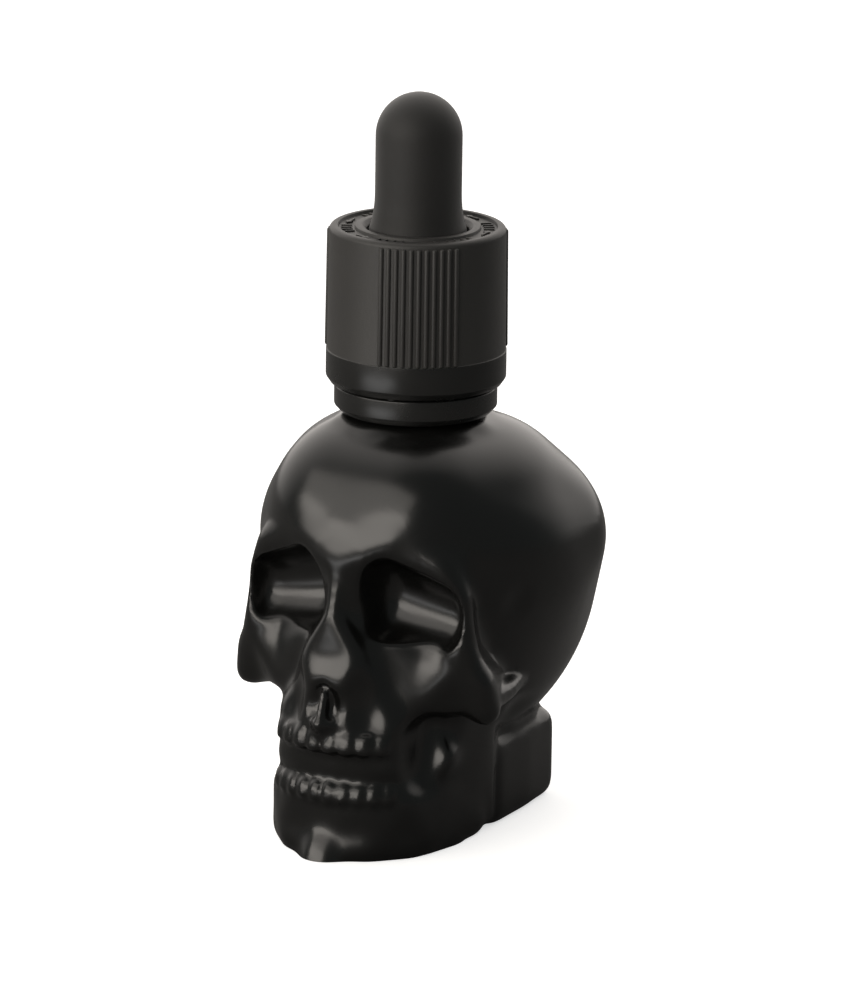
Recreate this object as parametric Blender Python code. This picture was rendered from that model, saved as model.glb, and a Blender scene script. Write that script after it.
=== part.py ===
"""A skull-shaped glass bottle with a child-resistant dropper closure.

Z is up, the face looks along -Y, and the origin lies on the neck's axis, on the base.
Every piece is one closed solid of its own. Sizes are millimetres until a mesh is made,
and each height of the closure is counted from the crown of the skull.
"""

import math

import bmesh
import bpy
from mathutils import Matrix, Vector

MM = 0.001

# Fineness of the meshes
FILLET_FACET = 0.4
SCULPT_GRAIN = 0.45
SKULL_DETAIL = 0.019

# Clearances
SEAT_GAP = 0.3
SLIDE_GAP = 0.25

# Skull: the sizes of the sculpted form, and the size that its lumps are written for
SKULL_WIDTH = 46.6
SKULL_DEPTH = 64.1
CROWN_HEIGHT = 58.6
SCULPTED_SIZE = (46.6, 64.1, 58.6)
GLASS_WALL = 3.2
HOLLOW_FLOOR = 6.5

# Neck finish, the glass ring that the closure screws on to
NECK_RADIUS = 7.75
NECK_BORE_RADIUS = 5.4
NECK_ROOT = 6.0
COLLAR_RADIUS = 9.9
COLLAR_HEIGHT = 0.2
LOCK_BEAD_RADIUS = 9.3
LOCK_BEAD_HEIGHT = 1.0

# Break-off ring under the cap
RING_RADIUS = 11.4
RING_HEIGHT = 3.7
RING_LIP_HEIGHT = 1.7
RING_WALL = 1.5

# Outer shell of the cap
SHELL_FOOT_RADIUS = 12.6
SHELL_TOP_RADIUS = 12.35
SHELL_HEIGHT = 22.2
SHELL_TOP_THICKNESS = 1.4
BAND_HEIGHT = 4.7
FOOT_CHAMFER = 0.9
PUSH_TRAVEL = 1.4
SNAP_BEAD_DEPTH = 0.75
SNAP_BEAD_HEIGHT = 0.8
TOP_GROOVE_DEPTH = 0.35
TOP_RIM_WIDTH = 1.3
RIB_RADIUS = 0.42
RIB_PITCH_DEG = 4.95
RIBS_PER_PAD = 11
PAD_COUNT = 3
PAD_DIRECTION_DEG = 31.0
DRIVE_LUGS = 8
LUG_HEIGHT = 1.1
LUG_WIDTH = 1.6
LUG_ROOT = 0.4

# Inner, threaded cap
CAP_BORE_RADIUS = 9.0
CAP_WALL = 1.35
CAP_TOP_THICKNESS = 1.6
CAP_FLANGE_HEIGHT = 1.2

# Rubber bulb
BULB_RADIUS = 5.95
BULB_WALL = 1.5
BULB_HEIGHT = 19.0
BULB_FLANGE_THICKNESS = 2.0
BULB_FLARE_RADIUS = 6.75
BULB_FLARE_HEIGHT = 4.4
BULB_FLARE_SINK = 0.6

# Glass pipette
PIPETTE_RADIUS = 3.5
PIPETTE_WALL = 0.9
PIPETTE_TIP_RADIUS = 1.5
PIPETTE_TIP_WALL = 0.6
PIPETTE_TIP_HEIGHT = 12.6
PIPETTE_TIP_LENGTH = 3.0
PIPETTE_TAPER = 14.0
PIPETTE_IN_BULB = 8.0

# Heights that follow from the sizes above
SHOULDER_Z = CROWN_HEIGHT + COLLAR_HEIGHT
RING_FOOT_Z = SHOULDER_Z + SEAT_GAP
RING_TOP_Z = RING_FOOT_Z + RING_HEIGHT
SHELL_FOOT_Z = RING_TOP_Z + SEAT_GAP
SHELL_TOP_Z = SHELL_FOOT_Z + SHELL_HEIGHT
BAND_TOP_Z = SHELL_FOOT_Z + BAND_HEIGHT
SHELL_CEILING_Z = SHELL_TOP_Z - SHELL_TOP_THICKNESS
CAP_TOP_Z = SHELL_CEILING_Z - PUSH_TRAVEL - LUG_HEIGHT - SEAT_GAP
FLANGE_TOP_Z = CAP_TOP_Z - CAP_TOP_THICKNESS - SEAT_GAP
FLANGE_FOOT_Z = FLANGE_TOP_Z - BULB_FLANGE_THICKNESS
NECK_TOP_Z = FLANGE_FOOT_Z - SEAT_GAP
BULB_TOP_Z = SHELL_TOP_Z + BULB_HEIGHT
SHELL_BORE_RADIUS = RING_RADIUS + SLIDE_GAP
BULB_HOLE_RADIUS = BULB_FLARE_RADIUS + SEAT_GAP


def clear_scene():
    for item in list(bpy.data.objects):
        bpy.data.objects.remove(item)


def finish(name, colour, roughness, metallic=0.0):
    """A plain material: what each piece is made of, in one colour."""
    material = bpy.data.materials.new(name)
    material.use_nodes = True
    shader = material.node_tree.nodes["Principled BSDF"]
    shader.inputs["Base Color"].default_value = (*colour, 1.0)
    shader.inputs["Roughness"].default_value = roughness
    shader.inputs["Metallic"].default_value = metallic
    return material


def piece(name, form, material=None, sharp_deg=35.0):
    """Turns a form in millimetres into an object in metres."""
    bmesh.ops.remove_doubles(form, verts=form.verts, dist=0.0005)
    bmesh.ops.recalc_face_normals(form, faces=form.faces)
    bmesh.ops.scale(form, vec=(MM, MM, MM), verts=form.verts)
    mesh = bpy.data.meshes.new(name)
    form.to_mesh(mesh)
    form.free()
    mesh.shade_smooth()
    mesh.set_sharp_from_angle(angle=math.radians(sharp_deg))
    made = bpy.data.objects.new(name, mesh)
    bpy.context.scene.collection.objects.link(made)
    if material:
        mesh.materials.append(material)
    return made


def guide(name, form):
    """A form that only joins or cuts another one, and isn't a piece itself."""
    made = piece(name, form)
    made.hide_render = True
    made.display_type = "WIRE"
    return made


def combine(target, other, operation):
    step = target.modifiers.new(other.name, "BOOLEAN")
    step.operation = operation
    step.solver = "EXACT"
    step.object = other


def fuse(target, grain, passes):
    """Melts overlapping lumps into one skin, and rubs it smooth."""
    melt = target.modifiers.new("melt", "REMESH")
    melt.mode = "VOXEL"
    melt.voxel_size = grain * MM
    rub = target.modifiers.new("rub", "SMOOTH")
    rub.factor = 0.5
    rub.iterations = passes


# Forms turned round the Z axis

def rounded(corners):
    """An outline in (radius, z), each corner (r, z, fillet) rounded by its fillet."""
    outline = []
    for i, (r, z, fillet) in enumerate(corners):
        here = Vector((r, z))
        if fillet <= 0.0:
            outline.append((r, z))
            continue
        to_last = (Vector(corners[i - 1][:2]) - here).normalized()
        to_next = (Vector(corners[(i + 1) % len(corners)][:2]) - here).normalized()
        half = to_last.angle(to_next) / 2
        centre = here + (to_last + to_next).normalized() * (fillet / math.sin(half))
        start = here + to_last * (fillet / math.tan(half)) - centre
        end = here + to_next * (fillet / math.tan(half)) - centre
        steps = max(1, round(fillet / FILLET_FACET))
        for k in range(steps + 1):
            spoke = start.lerp(end, k / steps).normalized() * fillet
            outline.append(tuple(centre + spoke))
    return outline


def turned(outline, steps=32):
    """The solid that an outline in (radius, z) makes when it is turned round Z."""
    form = bmesh.new()
    row = [form.verts.new((r, 0.0, z)) for r, z in outline]
    for a, b in zip(row, row[1:] + row[:1]):
        if max(a.co.x, b.co.x) > 1e-6:
            form.edges.new((a, b))
    bmesh.ops.spin(
        form, geom=list(form.verts) + list(form.edges), cent=(0, 0, 0), axis=(0, 0, 1),
        angle=math.tau, steps=steps, use_merge=True,
    )
    bmesh.ops.remove_doubles(form, verts=form.verts, dist=0.0005)
    bmesh.ops.dissolve_degenerate(form, edges=form.edges, dist=0.0005)
    return form


# Lumps, the clay that the skull is put together from

def sculpted(point):
    """A place on the sculpted skull, at the skull's own width, depth and height."""
    size = (SKULL_WIDTH, SKULL_DEPTH, CROWN_HEIGHT)
    return Vector(p * s / w for p, s, w in zip(point, size, SCULPTED_SIZE))


def egg(form, centre, radii, tilt=0.0, turn=0.0, around=40):
    """An ellipsoid, tilted about X and then turned about Z, in degrees."""
    made = bmesh.ops.create_uvsphere(form, u_segments=around, v_segments=around // 2, radius=1.0)
    place = (
        Matrix.Translation(sculpted(centre))
        @ Matrix.Rotation(math.radians(turn), 4, "Z")
        @ Matrix.Rotation(math.radians(tilt), 4, "X")
        @ Matrix.Diagonal((*sculpted(radii), 1.0))
    )
    bmesh.ops.transform(form, matrix=place, verts=made["verts"])


def eggs(form, centre, radii, tilt=0.0, turn=0.0, around=40):
    """The same ellipsoid on the left and on the right."""
    x, y, z = centre
    egg(form, (x, y, z), radii, tilt, turn, around)
    egg(form, (-x, y, z), radii, tilt, -turn, around)


def skin_over(form, points):
    """The tight skin round a cloud of points."""
    made = bmesh.ops.convex_hull(form, input=[form.verts.new(point) for point in points])
    spare = made["geom_interior"] + made["geom_unused"]
    loose = {item for item in spare if isinstance(item, bmesh.types.BMVert)}
    bmesh.ops.delete(form, geom=list(loose), context="VERTS")


def web(form, balls):
    """The tight skin round a few balls, each (x, y, z, radius)."""
    cloud = []
    for x, y, z, radius in balls:
        centre = sculpted((x, y, z))
        for lat in range(-4, 5):
            rise = math.radians(lat * 22.5)
            for lon in range(12 if abs(lat) < 4 else 1):
                swing = math.tau * (lon + 0.5 * (lat % 2)) / 12
                flat = radius * math.cos(rise)
                ray = Vector((flat * math.cos(swing), flat * math.sin(swing), radius * math.sin(rise)))
                cloud.append(centre + ray)
    skin_over(form, cloud)


def webs(form, balls):
    """The same web on the left and on the right."""
    web(form, balls)
    web(form, [(-x, y, z, radius) for x, y, z, radius in balls])


def skin_eggs(form, placed):
    """The tight skin round a few ellipsoids, each (centre, radii), on the left and on the right."""
    for side in (1, -1):
        lumps = bmesh.new()
        for (x, y, z), radii in placed:
            egg(lumps, (side * x, y, z), radii)
        skin_over(form, [vert.co for vert in lumps.verts])
        lumps.free()


def span(form, balls):
    """One web over balls on the left and their twins on the right."""
    web(form, balls + [(-x, y, z, radius) for x, y, z, radius in balls])


def chain(form, balls):
    """Webs from each ball to the next, on both sides: a ridge that follows a path."""
    for pair in zip(balls, balls[1:]):
        webs(form, list(pair))


# Skull

BLACK_GLASS = (0.012, 0.012, 0.012)


def braincase(form):
    """One tight skin over the swellings of the forehead, crown, sides and back."""
    lumps = bmesh.new()
    egg(lumps, (0, 4.6, 39.0), (23.4, 26.2, 19.4), tilt=-18, around=64)
    egg(lumps, (0, 9.3, 30.8), (19.5, 27.8, 22.3), tilt=19.6, around=64)
    eggs(lumps, (4.6, 12.1, 40.1), (18.4, 12.7, 14.3), around=56)
    eggs(lumps, (5.2, -5.3, 45.0), (12.8, 14.4, 13.6), around=56)
    eggs(lumps, (3.8, 2.7, 48.4), (16.0, 18.0, 10.2), around=56)
    skin_over(form, [vert.co for vert in lumps.verts])
    lumps.free()


def brow_and_cheeks(form):
    rim = [(2.6, -17.6, 42.6, 2.6), (7.4, -17.0, 44.2, 2.6), (13.4, -15.3, 41.6, 2.6),
           (15.3, -14.6, 37.0, 2.5), (15.6, -14.4, 32.0, 2.6), (16.3, -14.2, 29.0, 2.6)]
    chain(form, rim)
    webs(form, [(7.0, -11.0, 40.0, 6.0), (11.6, -10.4, 38.0, 5.4), (12.2, -10.4, 28.0, 5.0),
                (6.0, -11.0, 27.0, 6.0)])
    span(form, [(0, -19.8, 41.2, 2.2), (3.2, -18.9, 42.6, 2.4), (6.8, -17.5, 44.6, 2.6),
                (0, -17.6, 46.6, 3.0)])
    middle = [(11.4, -14.8, 27.0, 2.0), (11.0, -16.2, 22.2, 1.8), (13.0, -7.0, 23.0, 4.0),
              (8.0, -10.0, 31.0, 3.0)]
    webs(form, middle + [(4.6, -17.2, 30.6, 2.0), (6.4, -15.2, 27.2, 2.0), (7.2, -16.8, 22.4, 1.8)])
    webs(form, middle + [(16.3, -14.2, 28.4, 2.2), (15.4, -12.6, 21.4, 1.8)])
    webs(form, [(16.3, -14.2, 28.4, 2.4), (15.4, -12.6, 21.4, 1.8), (18.1, -13.2, 25.4, 2.4),
                (19.1, -12.4, 21.0, 2.2), (15.0, -6.0, 24.0, 3.0)])


def nose(form):
    span(form, [(0, -20.6, 40.0, 1.3), (0, -21.4, 34.8, 1.2), (1.2, -15.0, 37.0, 2.2)])
    span(form, [(0, -21.4, 34.4, 1.4), (0, -21.9, 28.4, 1.8), (2.2, -21.0, 29.4, 1.6),
                (4.4, -13.0, 25.0, 3.0)])
    span(form, [(0, -22.2, 28.6, 1.8), (0, -24.2, 25.0, 1.4), (3.1, -23.0, 25.2, 1.4),
                (2.0, -21.6, 29.0, 1.6), (4.6, -13.0, 24.6, 2.4)])
    egg(form, (0, -7.0, 29.0), (13.5, 10.0, 14.0))


def jaws(form):
    span(form, [(0, -21.8, 17.0, 3.2), (4.6, -21.0, 17.0, 3.2), (8.6, -17.8, 17.0, 3.1),
                (9.6, -12.4, 17.0, 2.8), (3.4, -21.6, 22.8, 2.2), (7.6, -14.0, 22.0, 3.2),
                (9.0, -8.0, 21.5, 3.2)])
    egg(form, (0, -12.6, 13.2), (14.2, 11.6, 5.4))
    span(form, [(0, -22.0, 8.4, 3.0), (4.4, -21.2, 8.4, 3.0), (8.4, -18.0, 8.4, 3.0), (10.4, -11.0, 8.6, 3.0),
                (0, -21.8, 3.2, 3.2), (6.2, -20.0, 2.6, 3.2), (10.0, -15.0, 2.2, 3.1), (12.0, -4.0, 1.6, 2.2),
                (11.2, -4.0, 9.6, 2.4)])
    span(form, [(0, -21.4, 0.8, 5.0), (5.4, -21.6, 1.2, 3.0), (9.0, -17.2, 1.6, 3.0), (11.2, -9.0, 0.8, 2.5)])
    egg(form, (0, -21.0, 0.8), (7.6, 6.8, 5.4))
    webs(form, [(11.4, -6.8, 2.0, 2.2), (11.7, -0.6, 2.0, 2.0), (8.8, -11.4, 8.0, 2.0),
                (11.2, -10.8, 8.0, 2.0), (8.8, -8.8, 19.5, 2.0), (11.6, -8.0, 19.5, 2.2),
                (12.0, -1.8, 20.0, 2.4), (6.0, -4.0, 20.0, 4.0)])


def foot_block(form):
    """The block that the back of the head rests on, joined to the jaw inside."""
    span(form, [(x, y, z, 1.7) for x, y in ((12.2, 1.4), (11.9, 10.0), (11.0, 18.3)) for z in (0.8, 11.0)])
    span(form, [(x, y, z, 1.5) for x, y in ((9.4, -6.0), (9.4, 6.0)) for z in (1.2, 14.5)])
    span(form, [(9.4, 0.0, 13.6, 3.0), (9.4, 12.0, 12.6, 3.0)])


def crown(form):
    """The flat round the neck's foot, where the ring sits down to the glass."""
    span(form, [(x, y, 57.4, 1.6) for x, y in ((0, -10.0), (7.2, -7.4), (9.8, 0.0), (7.0, 7.0))])


def soft_hollows(form):
    """The shallow parts of the face: temples, cheeks, beside the nose, and the undercuts at the side."""
    eggs(form, (37.8, -8.4, 33.0), (19.0, 10.0, 13.0))
    skin_eggs(form, [((13.2, -17.2, 17.0), (4.6, 5.4, 3.8)), ((13.6, -18.6, 11.0), (4.4, 5.2, 3.2))])
    chain(form, [(5.8, -20.6, 28.0, 1.8), (6.5, -20.6, 22.4, 2.6), (6.6, -22.0, 18.0, 1.6)])
    webs(form, [(18.4, 2.0, 15.8, 4.2), (19.0, 10.0, 14.0, 4.4), (21.0, 16.0, 12.0, 4.6),
                (24.0, 4.0, 14.0, 8.0)])


def crisp_hollows(form):
    """The sockets, the nose opening and the groove between the jaw and the block."""
    skin_eggs(form, [((5.9, -18.2, 36.4), (2.6, 5.2, 5.8)), ((14.6, -17.6, 34.6), (2.6, 5.0, 4.8)),
                     ((10.0, -27.0, 36.0), (8.6, 5.0, 8.4))])
    web(form, [(1.8, -25.0, 21.2, 1.6), (-1.8, -25.0, 21.2, 1.6), (0, -24.0, 24.0, 1.2),
               (0, -30.0, 22.0, 2.6)])
    eggs(form, (14.6, 0.5, 4.0), (1.5, 0.8, 12.0))


def tooth_row(form, middle_z, tooth_height, tooth_width, teeth_per_side, arch_front, arch_half):
    """Teeth round the front of an elliptical arch, from the middle to both sides."""
    turn = 0.5 * tooth_width / arch_half
    for _ in range(teeth_per_side):
        x, y = arch_half * math.sin(turn), -14.0 - arch_front * math.cos(turn)
        lean = math.atan2(arch_front * math.sin(turn), arch_half * math.cos(turn))
        half = 0.5 * tooth_width - 0.85
        rise = 0.5 * tooth_height - 0.75
        along, back = half * math.cos(lean), half * math.sin(lean)
        webs(form, [(x + side * along, y + side * back, middle_z + up * rise, 0.75)
                    for side in (-1, 1) for up in (-1, 1)])
        turn += tooth_width / math.hypot(arch_half * math.cos(turn), arch_front * math.sin(turn))


def raised_details():
    """Teeth, the septum of the nose, and the arch from the cheek back to the ear."""
    form = bmesh.new()
    tooth_row(form, 17.0, 4.0, 2.5, 4, arch_front=10.8, arch_half=11.6)
    tooth_row(form, 9.0, 3.8, 2.15, 5, arch_front=10.6, arch_half=11.8)
    web(form, [(0, -24.2, 23.6, 0.55), (0, -25.4, 19.8, 0.7), (0, -21.0, 22.0, 0.8)])
    span(form, [(0, -25.6, 19.4, 0.9), (1.4, -24.2, 19.2, 0.8), (0, -24.0, 18.0, 1.2)])
    chain(form, [(18.4, -11.0, 22.4, 2.1), (17.8, -5.0, 22.2, 1.7), (15.6, 3.4, 22.4, 1.6)])
    return form


def hollow_inside():
    """The blown space: it follows the outside loosely, with a thick floor and jaw."""
    form = bmesh.new()
    wall = GLASS_WALL
    egg(form, (0, 9.4, 36.6), (20.4 - wall, 23.4 - wall, 20.8 - wall))
    low = HOLLOW_FLOOR * SCULPTED_SIZE[2] / CROWN_HEIGHT
    round_off = 7.2 - wall
    corners = ((4.0, -9.0, 0), (7.6, -1.0, 0), (8.0, 13.0, 0), (6.0, -6.0, 12.0), (9.0, 12.0, 14.0))
    span(form, [(x, y, low + round_off + rise, round_off) for x, y, rise in corners])
    return form


def neck_outline():
    """From inside the crown up over the collar, the lock bead and the mouth, and back."""
    inside = 0.7 * NECK_BORE_RADIUS
    root_z = CROWN_HEIGHT - NECK_ROOT
    bead_z = RING_FOOT_Z + RING_LIP_HEIGHT + SEAT_GAP
    return rounded([
        (inside, root_z, 0.0),
        (COLLAR_RADIUS, root_z, 0.0),
        (COLLAR_RADIUS, SHOULDER_Z, 0.3),
        (NECK_RADIUS, SHOULDER_Z, 0.3),
        (NECK_RADIUS, bead_z, 0.0),
        (LOCK_BEAD_RADIUS, bead_z, 0.0),
        (NECK_RADIUS, bead_z + LOCK_BEAD_HEIGHT, 0.0),
        (NECK_RADIUS, NECK_TOP_Z, 0.6),
        (inside, NECK_TOP_Z, 0.0),
    ])


def hollow_out(skull, name, hollows):
    form = bmesh.new()
    hollows(form)
    cutter = guide(name, form)
    fuse(cutter, SCULPT_GRAIN, 3)
    combine(skull, cutter, "DIFFERENCE")


def skull_bottle(material):
    form = bmesh.new()
    for build in (braincase, crown, brow_and_cheeks, nose, jaws, foot_block):
        build(form)
    skull = piece("skull_bottle", form, material)
    fuse(skull, SCULPT_GRAIN * 1.5, 2)
    hollow_out(skull, "soft_hollows", soft_hollows)
    fuse(skull, SCULPT_GRAIN * 1.5, 12)
    hollow_out(skull, "crisp_hollows", crisp_hollows)
    details = guide("raised_details", raised_details())
    fuse(details, SCULPT_GRAIN * 0.6, 1)
    combine(skull, details, "UNION")
    fuse(skull, SCULPT_GRAIN, 4)
    thin = skull.modifiers.new("thin", "DECIMATE")
    thin.ratio = SKULL_DETAIL

    under = bmesh.new()
    bmesh.ops.create_cube(under, size=2.0 * SKULL_DEPTH)
    bmesh.ops.translate(under, vec=(0, 0, -SKULL_DEPTH), verts=under.verts)
    combine(skull, guide("below_base", under), "DIFFERENCE")
    combine(skull, guide("neck", turned(neck_outline())), "UNION")
    hollow = guide("hollow", hollow_inside())
    fuse(hollow, SCULPT_GRAIN * 4.5, 4)
    combine(skull, hollow, "DIFFERENCE")
    bore = turned(rounded([
        (0.0, CROWN_HEIGHT - 2 * NECK_ROOT, 0.0),
        (NECK_BORE_RADIUS, CROWN_HEIGHT - 2 * NECK_ROOT, 0.0),
        (NECK_BORE_RADIUS, NECK_TOP_Z + 1.0, 0.0),
        (0.0, NECK_TOP_Z + 1.0, 0.0),
    ]))
    combine(skull, guide("neck_bore", bore), "DIFFERENCE")
    return skull


# Closure, from the neck outwards

def tamper_ring(material):
    """The band that breaks off the cap and stays under the neck's lock bead."""
    inner = RING_RADIUS - RING_WALL
    lip = NECK_RADIUS + SLIDE_GAP + 0.3
    lip_z = RING_FOOT_Z + RING_LIP_HEIGHT
    outline = rounded([
        (lip, RING_FOOT_Z, 0.2),
        (RING_RADIUS - 0.4, RING_FOOT_Z, 0.0),
        (RING_RADIUS, RING_FOOT_Z + 0.8, 0.3),
        (RING_RADIUS, RING_TOP_Z, 0.2),
        (inner, RING_TOP_Z, 0.2),
        (inner, lip_z, 0.0),
        (lip, lip_z, 0.2),
    ])
    return piece("tamper_ring", turned(outline), material)


def inner_cap(material):
    """The cap that screws on to the neck and clamps the bulb's flange."""
    outer = CAP_BORE_RADIUS + CAP_WALL
    flange = SHELL_BORE_RADIUS - SLIDE_GAP
    foot_z = RING_TOP_Z + SEAT_GAP
    flange_z = snap_bead_top() + SEAT_GAP
    ceiling_z = FLANGE_TOP_Z + SEAT_GAP
    outline = rounded([
        (CAP_BORE_RADIUS, foot_z, 0.2),
        (outer, foot_z, 0.2),
        (outer, flange_z, 0.0),
        (flange, flange_z, 0.2),
        (flange, flange_z + CAP_FLANGE_HEIGHT, 0.2),
        (outer, flange_z + CAP_FLANGE_HEIGHT + 0.6, 0.0),
        (outer, CAP_TOP_Z, 0.4),
        (BULB_HOLE_RADIUS, CAP_TOP_Z, 0.3),
        (BULB_HOLE_RADIUS, ceiling_z, 0.3),
        (CAP_BORE_RADIUS, ceiling_z, 0.3),
    ])
    cap = piece("inner_cap", turned(outline), material)
    lugs = drive_lugs(CAP_TOP_Z - LUG_ROOT, CAP_TOP_Z + LUG_HEIGHT, 0.0)
    combine(cap, guide("cap_lugs", lugs), "UNION")
    return cap


def snap_bead_top():
    """The height of the shell's snap bead, high enough to clear the ring when pushed."""
    return RING_TOP_Z + PUSH_TRAVEL + 2 * SEAT_GAP + SNAP_BEAD_HEIGHT


def drive_lugs(low, high, offset_steps):
    """Blocks in a circle, half a step apart on the shell and on the inner cap."""
    form = bmesh.new()
    inner = BULB_HOLE_RADIUS + 2 * LUG_ROOT
    outer = CAP_BORE_RADIUS + CAP_WALL - LUG_ROOT
    for i in range(DRIVE_LUGS):
        made = bmesh.ops.create_cube(form, size=1.0)
        place = (
            Matrix.Rotation(math.tau * (i + offset_steps) / DRIVE_LUGS, 4, "Z")
            @ Matrix.Translation(((inner + outer) / 2, 0, (low + high) / 2))
            @ Matrix.Diagonal((outer - inner, LUG_WIDTH, high - low, 1.0))
        )
        bmesh.ops.transform(form, matrix=place, verts=made["verts"])
    return form


def grip_ribs():
    """Upright half-round ribs in pads, from the smooth band up to the top edge."""
    form = bmesh.new()
    low, high = BAND_TOP_Z, SHELL_TOP_Z - 0.8
    lean = math.atan2(SHELL_FOOT_RADIUS - SHELL_TOP_RADIUS, high - low)
    for pad in range(PAD_COUNT):
        for i in range(RIBS_PER_PAD):
            from_middle = (i - (RIBS_PER_PAD - 1) / 2) * RIB_PITCH_DEG
            turn = PAD_DIRECTION_DEG - 90 + pad * 360 / PAD_COUNT + from_middle
            made = bmesh.ops.create_cone(
                form, cap_ends=True, segments=6, radius1=RIB_RADIUS, radius2=RIB_RADIUS, depth=high - low)
            place = (
                Matrix.Rotation(math.radians(turn), 4, "Z")
                @ Matrix.Translation(((SHELL_FOOT_RADIUS + SHELL_TOP_RADIUS) / 2 - 0.1, 0, (low + high) / 2))
                @ Matrix.Rotation(-lean, 4, "Y")
            )
            bmesh.ops.transform(form, matrix=place, verts=made["verts"])
    return form


def outer_shell(material):
    """The push-down shell that turns the inner cap only while it is pressed."""
    bore = SHELL_BORE_RADIUS
    bead_z = snap_bead_top() - SNAP_BEAD_HEIGHT
    groove_out = SHELL_TOP_RADIUS - TOP_RIM_WIDTH
    groove_in = BULB_HOLE_RADIUS + 0.9
    groove_z = SHELL_TOP_Z - TOP_GROOVE_DEPTH
    outline = rounded([
        (bore, SHELL_FOOT_Z, 0.0),
        (SHELL_FOOT_RADIUS - FOOT_CHAMFER + 0.3, SHELL_FOOT_Z, 0.0),
        (SHELL_FOOT_RADIUS, SHELL_FOOT_Z + FOOT_CHAMFER, 0.3),
        (SHELL_FOOT_RADIUS, BAND_TOP_Z, 0.0),
        (SHELL_FOOT_RADIUS - 0.1, BAND_TOP_Z + 0.1, 0.0),
        (SHELL_TOP_RADIUS, SHELL_TOP_Z, 0.8),
        (groove_out, SHELL_TOP_Z, 0.1),
        (groove_out, groove_z, 0.0),
        (groove_in, groove_z, 0.0),
        (groove_in, SHELL_TOP_Z, 0.1),
        (BULB_HOLE_RADIUS, SHELL_TOP_Z, 0.2),
        (BULB_HOLE_RADIUS, SHELL_CEILING_Z, 0.0),
        (bore, SHELL_CEILING_Z, 0.4),
        (bore, bead_z + SNAP_BEAD_HEIGHT, 0.0),
        (bore - SNAP_BEAD_DEPTH, bead_z + SNAP_BEAD_HEIGHT, 0.0),
        (bore, bead_z, 0.0),
    ])
    shell = piece("outer_shell", turned(outline, 48), material)
    combine(shell, guide("grip_ribs", grip_ribs()), "UNION")
    lugs = drive_lugs(SHELL_CEILING_Z - LUG_HEIGHT, SHELL_CEILING_Z + LUG_ROOT, 0.5)
    combine(shell, guide("shell_lugs", lugs), "UNION")
    return shell


# Dropper

def rubber_bulb(material):
    grip = PIPETTE_RADIUS + SEAT_GAP
    chamber = BULB_RADIUS - BULB_WALL
    flange = CAP_BORE_RADIUS - SLIDE_GAP
    pipette_top = FLANGE_TOP_Z + PIPETTE_IN_BULB
    flare_foot_z = SHELL_TOP_Z - BULB_FLARE_SINK
    dome_z = BULB_TOP_Z - BULB_RADIUS
    outline = rounded([
        (grip, FLANGE_FOOT_Z, 0.2),
        (flange, FLANGE_FOOT_Z, 0.3),
        (flange, FLANGE_TOP_Z, 0.3),
        (BULB_FLARE_RADIUS, FLANGE_TOP_Z, 0.0),
        (BULB_FLARE_RADIUS, flare_foot_z, 0.0),
    ])
    for k in range(1, 5):
        part = k / 4
        ease = (1 - part) ** 2
        outline.append((BULB_RADIUS + (BULB_FLARE_RADIUS - BULB_RADIUS) * ease,
                        flare_foot_z + (BULB_FLARE_HEIGHT + BULB_FLARE_SINK) * part))
    outline += [(BULB_RADIUS * math.cos(math.radians(a)), dome_z + BULB_RADIUS * math.sin(math.radians(a)))
                for a in range(0, 90, 15)]
    outline.append((0.0, BULB_TOP_Z))
    outline.append((0.0, dome_z + chamber))
    outline += [(chamber * math.cos(math.radians(a)), dome_z + chamber * math.sin(math.radians(a)))
                for a in range(60, -1, -20)]
    outline += [(chamber, pipette_top + 1.2), (grip, pipette_top + 0.6)]
    return piece("rubber_bulb", turned(outline), material)


def glass_pipette(material):
    bore = PIPETTE_RADIUS - PIPETTE_WALL
    tip_bore = PIPETTE_TIP_RADIUS - PIPETTE_TIP_WALL
    top_z = FLANGE_TOP_Z + PIPETTE_IN_BULB
    tip_z = PIPETTE_TIP_HEIGHT + PIPETTE_TIP_LENGTH
    taper_z = PIPETTE_TIP_HEIGHT + PIPETTE_TAPER
    outline = rounded([
        (tip_bore, PIPETTE_TIP_HEIGHT, 0.0),
        (PIPETTE_TIP_RADIUS, PIPETTE_TIP_HEIGHT, 0.3),
        (PIPETTE_TIP_RADIUS + 0.1, tip_z, 0.0),
        (PIPETTE_RADIUS, taper_z, 0.8),
        (PIPETTE_RADIUS, top_z, 0.3),
        (bore, top_z, 0.3),
        (bore, taper_z, 0.8),
        (tip_bore, tip_z, 0.0),
    ])
    return piece("glass_pipette", turned(outline, 20), material)


def main():
    clear_scene()
    glass = finish("coated_black_glass", BLACK_GLASS, 0.22)
    matte = finish("matt_polypropylene", (0.03, 0.03, 0.028), 0.5)
    liner = finish("inner_polypropylene", (0.05, 0.05, 0.05), 0.45)
    rubber = finish("black_rubber", (0.02, 0.02, 0.02), 0.6)
    clear = finish("clear_glass", (0.85, 0.88, 0.88), 0.03)
    skull_bottle(glass)
    tamper_ring(matte)
    inner_cap(liner)
    outer_shell(matte)
    rubber_bulb(rubber)
    glass_pipette(clear)


main()
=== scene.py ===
"""A black skull-shaped glass bottle with its dropper closure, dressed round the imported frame."""

import math

import bpy
from mathutils import Matrix, Vector


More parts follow.
